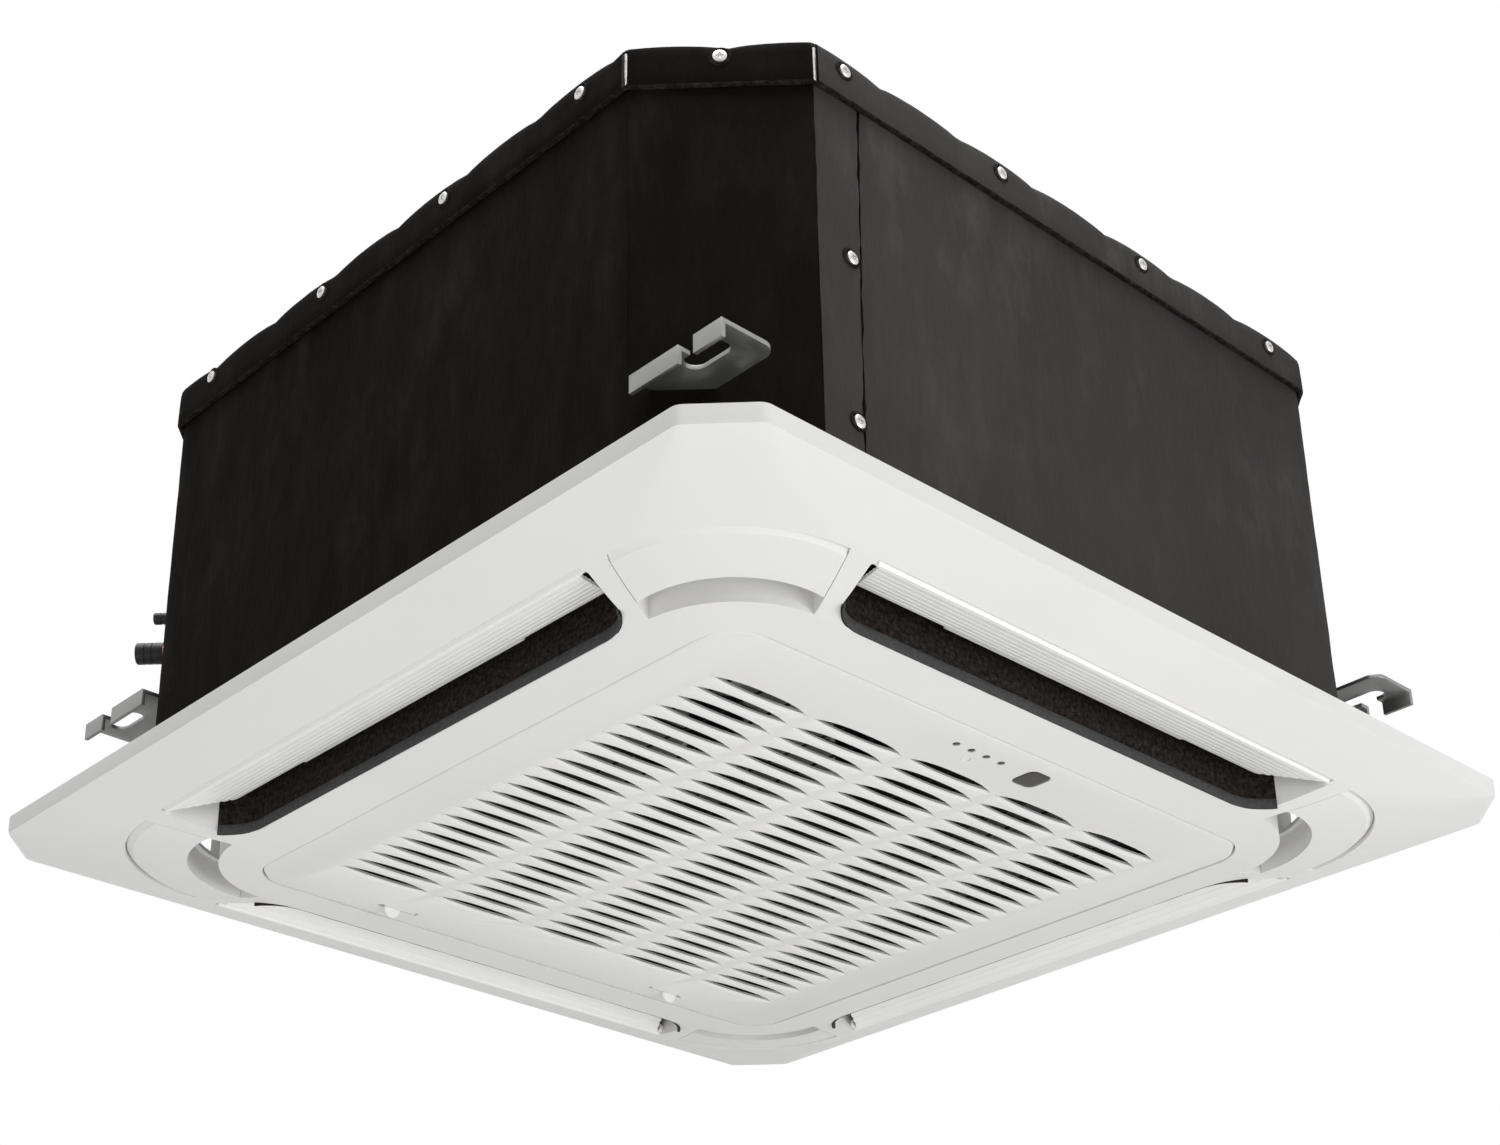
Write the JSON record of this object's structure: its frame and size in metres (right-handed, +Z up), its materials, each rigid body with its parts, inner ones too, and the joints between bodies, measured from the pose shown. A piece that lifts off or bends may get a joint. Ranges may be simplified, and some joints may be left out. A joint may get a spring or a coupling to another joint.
{
  "type": "ceiling cassette air conditioner",
  "caption": "Four-way ceiling cassette air conditioner with a hinged slotted intake grille, swinging louvres and a black insulated body on hanger brackets.",
  "frame": {"origin": "centre of the plane where the panel's rim meets the ceiling", "axes": "+Z up into the ceiling, +X towards the side with the status lights and the grille's hinge, -Y towards the front side, pipes leave at the -X -Y corner"},
  "size_m": [0.65, 0.65, 0.3205],
  "materials": {
    "panel_white": "satin",
    "grille_white": "satin",
    "louver_white": "satin",
    "filter_black": "matte",
    "jacket_foam": "matte",
    "cap_foam": "matte",
    "seal_foam": "matte",
    "galvanised": "satin",
    "zinc": "satin",
    "pan_foam": "matte",
    "fin_aluminium": "satin",
    "copper": "satin",
    "fan_plastic": "matte",
    "bell_black": "matte",
    "motor_black": "satin",
    "rubber_black": "matte",
    "box_grey": "satin",
    "board_green": "satin",
    "light_dark": "gloss",
    "window_dark": "gloss",
    "pipe_cap_black": "satin",
    "pump_white": "satin",
    "hose_clear": "gloss"
  },
  "bodies": {
    "unit": {"air_liner": "pan_foam", "bell_mouth": "bell_black", "bracket_bolts": "zinc", "cap_screws": "zinc", "casing": "galvanised", "control_board": "board_green", "control_box": "box_grey", "control_cover": "box_grey", "corner_cover_back_left": "panel_white", "corner_cover_back_right": "panel_white", "corner_cover_front_left": "panel_white", "corner_cover_front_right": "panel_white", "corner_pads": "jacket_foam", "drain_hose": "hose_clear", "drain_pan": "pan_foam", "drain_pump": "pump_white", "drain_stub": "pump_white", "duct_seals": "seal_foam", "evaporator_fins": "fin_aluminium", "evaporator_tubes": "copper", "fan_motor": "motor_black", "float_switch": "pump_white", "gas_pipe": "copper", "hanger_bracket_back_left": "galvanised", "hanger_bracket_back_right": "galvanised", "hanger_bracket_front_left": "galvanised", "hanger_bracket_front_right": "galvanised", "liquid_pipe": "copper", "louver_motor_back": "pump_white", "louver_motor_front": "pump_white", "louver_motor_left": "pump_white", "louver_motor_right": "pump_white", "motor_mounts": "rubber_black", "panel_bolts": "zinc", "panel_frame": "panel_white", "pipe_caps": "pipe_cap_black", "pipe_plate": "jacket_foam", "side_pad_back": "jacket_foam", "side_pad_front": "jacket_foam", "side_pad_left": "jacket_foam", "side_pad_right": "jacket_foam", "top_insulation": "cap_foam", "top_plate": "galvanised"},
    "fan": {"turbo_fan": "fan_plastic", "motor_shaft": "zinc", "fan_nut": "zinc"},
    "grille": {"intake_grille": "grille_white", "air_filter": "filter_black", "display_board": "board_green", "status_lights": "light_dark", "receiver_window": "window_dark"},
    "latch_slider_back": {"latch_back": "grille_white"},
    "latch_slider_front": {"latch_front": "grille_white"},
    "button": {"manual_button": "grille_white"},
    "float_body": {"float": "pump_white"},
    "impeller": {"pump_impeller": "pump_white"},
    "vane_right": {"louver_right": "louver_white"},
    "vane_back": {"louver_back": "louver_white"},
    "vane_left": {"louver_left": "louver_white"},
    "vane_front": {"louver_front": "louver_white"}
  },
  "joints": [
    {"name": "fan_spin", "type": "hinge", "parent": "unit", "child": "fan", "pos_m": [0, 0, 0.17], "axis": [0, 0, 1], "continuous": true},
    {"name": "louver_right_swing", "type": "hinge", "parent": "unit", "child": "vane_right", "pos_m": [0.283, 0, -0.0176], "axis": [0, 1, 0], "range_deg": [-30, 30]},
    {"name": "louver_back_swing", "type": "hinge", "parent": "unit", "child": "vane_back", "pos_m": [0, 0.283, -0.0176], "axis": [-1, 0, 0], "range_deg": [-30, 30]},
    {"name": "louver_left_swing", "type": "hinge", "parent": "unit", "child": "vane_left", "pos_m": [-0.283, 0, -0.0176], "axis": [0, -1, 0], "range_deg": [-30, 30]},
    {"name": "louver_front_swing", "type": "hinge", "parent": "unit", "child": "vane_front", "pos_m": [0, -0.283, -0.0176], "axis": [1, 0, 0], "range_deg": [-30, 30]},
    {"name": "grille_swing", "type": "hinge", "parent": "unit", "child": "grille", "pos_m": [0.19, 0, -0.028], "axis": [0, -1, 0], "range_deg": [0, 85]},
    {"name": "latch_back_slide", "type": "slide", "parent": "grille", "child": "latch_slider_back", "axis": [0, -1, 0], "range_m": [0, 0.012]},
    {"name": "latch_front_slide", "type": "slide", "parent": "grille", "child": "latch_slider_front", "axis": [0, 1, 0], "range_m": [0, 0.012]},
    {"name": "button_press", "type": "slide", "parent": "grille", "child": "button", "axis": [0, 0, 1], "range_m": [0, 0.0012], "stiffness_N_per_m": 500, "springref_m": -0.0008},
    {"name": "float_rise", "type": "slide", "parent": "unit", "child": "float_body", "axis": [0, 0, 1], "range_m": [0, 0.012]},
    {"name": "pump_spin", "type": "hinge", "parent": "unit", "child": "impeller", "pos_m": [-0.223, 0.223, 0.045], "axis": [0, 0, 1], "continuous": true}
  ],
  "couplings": [
    {"joint": "louver_back_swing", "follows": "louver_right_swing", "ratio": 1},
    {"joint": "louver_left_swing", "follows": "louver_right_swing", "ratio": 1},
    {"joint": "louver_front_swing", "follows": "louver_right_swing", "ratio": 1}
  ]
}
